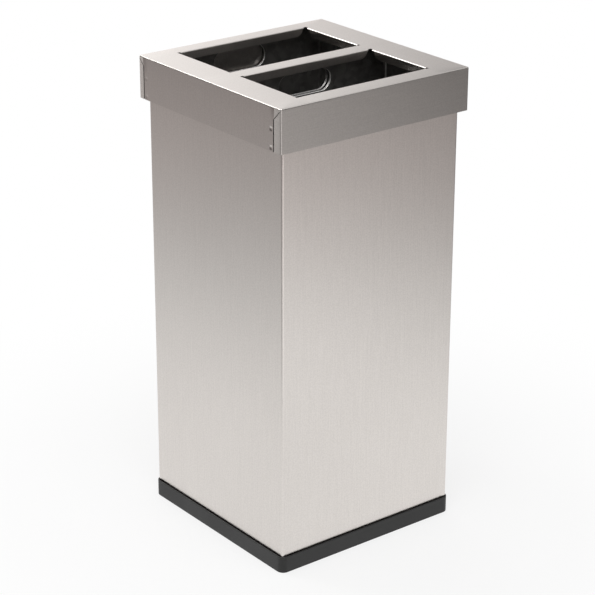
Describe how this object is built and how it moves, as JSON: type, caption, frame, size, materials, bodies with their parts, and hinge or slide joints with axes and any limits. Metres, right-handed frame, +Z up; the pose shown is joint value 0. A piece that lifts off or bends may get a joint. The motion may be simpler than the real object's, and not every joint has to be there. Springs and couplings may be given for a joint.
{
  "type": "double recycling bin",
  "caption": "Tall square sheet-steel bin on a black base ring, with a lift-off lid that has an opening over each inner liner.",
  "frame": {"origin": "on the floor, under the middle of the bin", "axes": "+Z up; front towards -Y; the two openings are long along X, one in front of the other along Y"},
  "size_m": [0.38, 0.38, 0.8],
  "materials": {
    "brushed_stainless": "fine straight brushing, satin",
    "galvanised_steel": "dull zinc coating, faint spangle",
    "black_plastic": "fine moulded grain",
    "rivet_alloy": "plain drawn alloy",
    "zinced_screw": "bright zinc plating"
  },
  "bodies": {
    "casing": {"casing_shell": "brushed_stainless", "casing_seam_strip": "brushed_stainless", "casing_floor": "galvanised_steel", "base_ring": "black_plastic", "floor_rivet_1": "rivet_alloy", "floor_rivet_2": "rivet_alloy", "floor_rivet_3": "rivet_alloy", "floor_rivet_4": "rivet_alloy", "floor_rivet_5": "rivet_alloy", "floor_rivet_6": "rivet_alloy", "floor_rivet_7": "rivet_alloy", "floor_rivet_8": "rivet_alloy", "base_screw_1": "zinced_screw", "base_screw_2": "zinced_screw", "base_screw_3": "zinced_screw", "base_screw_4": "zinced_screw", "base_screw_5": "zinced_screw", "base_screw_6": "zinced_screw", "base_screw_7": "zinced_screw", "base_screw_8": "zinced_screw"},
    "lid": {"lid_pan": "brushed_stainless"},
    "liner_front": {"liner_front_shell": "galvanised_steel", "liner_front_base": "galvanised_steel", "liner_front_rivet_1": "rivet_alloy", "liner_front_rivet_2": "rivet_alloy", "liner_front_rivet_3": "rivet_alloy", "liner_front_rivet_4": "rivet_alloy"},
    "liner_rear": {"liner_rear_shell": "galvanised_steel", "liner_rear_base": "galvanised_steel", "liner_rear_rivet_1": "rivet_alloy", "liner_rear_rivet_2": "rivet_alloy", "liner_rear_rivet_3": "rivet_alloy", "liner_rear_rivet_4": "rivet_alloy"}
  },
  "joints": [
    {"name": "lid_lift", "type": "slide", "parent": "casing", "child": "lid", "axis": [0, 0, 1], "range_m": [0, 1]},
    {"name": "liner_front_lift", "type": "slide", "parent": "casing", "child": "liner_front", "axis": [0, 0, 1], "range_m": [0, 0.8]},
    {"name": "liner_rear_lift", "type": "slide", "parent": "casing", "child": "liner_rear", "axis": [0, 0, 1], "range_m": [0, 0.8]}
  ],
  "couplings": [
    {"joint": "liner_front_lift", "follows": "lid_lift", "ratio": 0.8},
    {"joint": "liner_rear_lift", "follows": "lid_lift", "ratio": 0.8}
  ]
}
